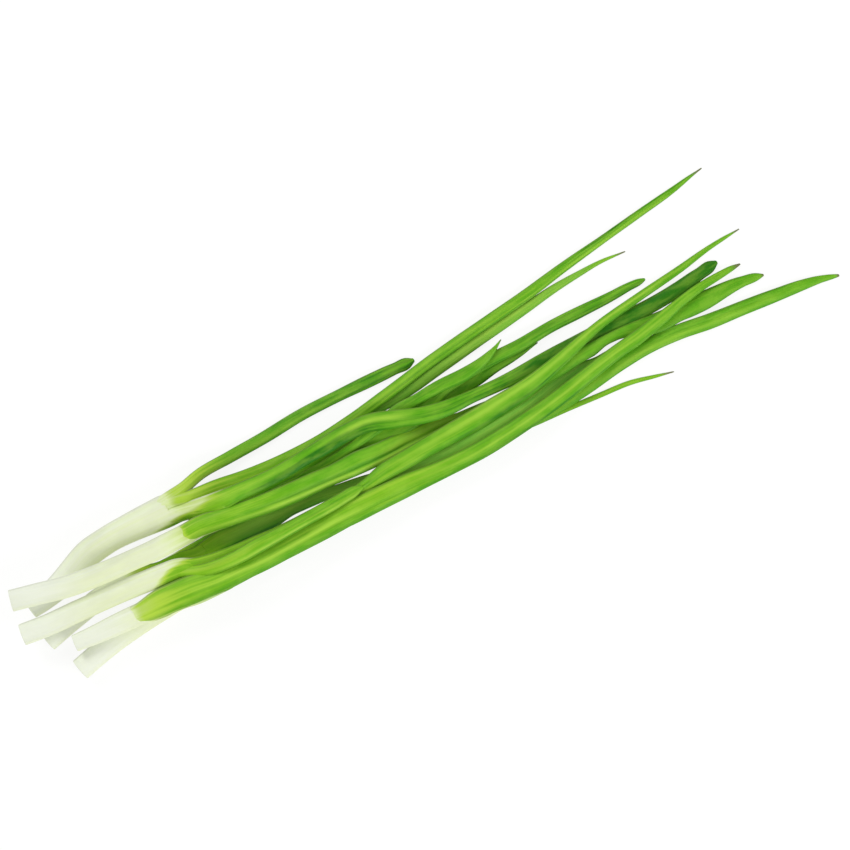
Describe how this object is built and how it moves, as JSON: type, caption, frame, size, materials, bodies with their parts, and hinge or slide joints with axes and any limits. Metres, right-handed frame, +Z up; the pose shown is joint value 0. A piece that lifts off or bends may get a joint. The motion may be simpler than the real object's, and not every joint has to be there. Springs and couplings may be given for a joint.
{
  "type": "bunch of spring onions",
  "caption": "Loose bunch of slim trimmed spring onions lying flat: pale shanks with square-cut ends and long hollow green leaves that cross and taper to points.",
  "frame": {"origin": "on the table, under the middle of the bunch's box", "axes": "+X along the bunch from the cut ends to the leaf tips, +Z up from the table"},
  "size_m": [0.3998, 0.0758, 0.0217],
  "materials": {
    "pale_shank": "moist white to pale yellow-green onion skin, satin, with fine lines along it",
    "green_leaf": "waxy green leaf skin, satin, with fine lines along it and a dry olive-brown tip"
  },
  "bodies": {
    "root": {"onion_1_leaf_1": "green_leaf", "onion_1_leaf_2": "green_leaf", "onion_1_leaf_3": "green_leaf", "onion_1_leaf_4": "green_leaf", "onion_1_shank": "pale_shank", "onion_2_leaf_1": "green_leaf", "onion_2_leaf_2": "green_leaf", "onion_2_leaf_3": "green_leaf", "onion_2_shank": "pale_shank", "onion_3_leaf_1": "green_leaf", "onion_3_leaf_2": "green_leaf", "onion_3_shank": "pale_shank", "onion_4_leaf_1": "green_leaf", "onion_4_leaf_2": "green_leaf", "onion_4_shank": "pale_shank", "onion_5_leaf_1": "green_leaf", "onion_5_shank": "pale_shank", "onion_6_leaf_1": "green_leaf", "onion_6_leaf_2": "green_leaf", "onion_6_shank": "pale_shank"}
  },
  "joints": []
}
